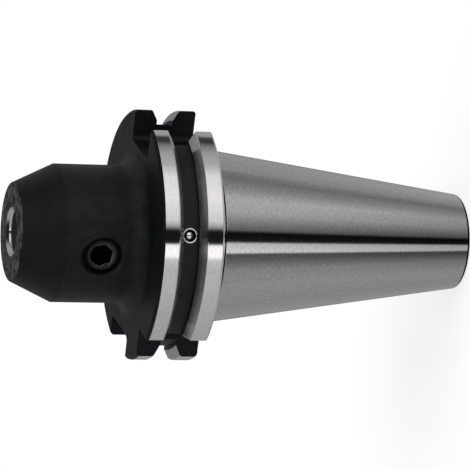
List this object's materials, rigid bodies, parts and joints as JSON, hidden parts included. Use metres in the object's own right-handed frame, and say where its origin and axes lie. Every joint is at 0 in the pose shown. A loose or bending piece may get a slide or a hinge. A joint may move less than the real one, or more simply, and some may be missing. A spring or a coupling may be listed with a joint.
{
  "type": "side lock end mill holder",
  "caption": "Steep taper shank holder that grips a straight tool shank in its nose bore with a side clamp screw, with a grooved gripper flange.",
  "frame": {"origin": "centre of the gauge plane, where the shank's taper is 44.45 mm across", "axes": "+Z along the axis to the nose, +X to the front drive keyway, -Y to the clamp screw"},
  "size_m": [0.0614, 0.0636, 0.1184],
  "materials": {
    "holder_steel": "black oxide nose and flange faces, ground rims, groove flank and taper",
    "screw_steel": "black oxide, hardened",
    "plug_steel": "bright turned sleeve",
    "ball_steel": "polished ball"
  },
  "bodies": {
    "holder": {"holder_body": "holder_steel", "expander_sleeve_1": "plug_steel", "expander_ball_1": "ball_steel", "expander_sleeve_2": "plug_steel", "expander_ball_2": "ball_steel", "coolant_screw_1": "screw_steel", "coolant_screw_2": "screw_steel"},
    "clamp_screw": {"clamp_screw": "screw_steel"}
  },
  "joints": [
    {"name": "clamp_screw_travel", "type": "slide", "parent": "holder", "child": "clamp_screw", "axis": [0, -1, 0], "range_m": [-0.0023, 0.004]}
  ]
}
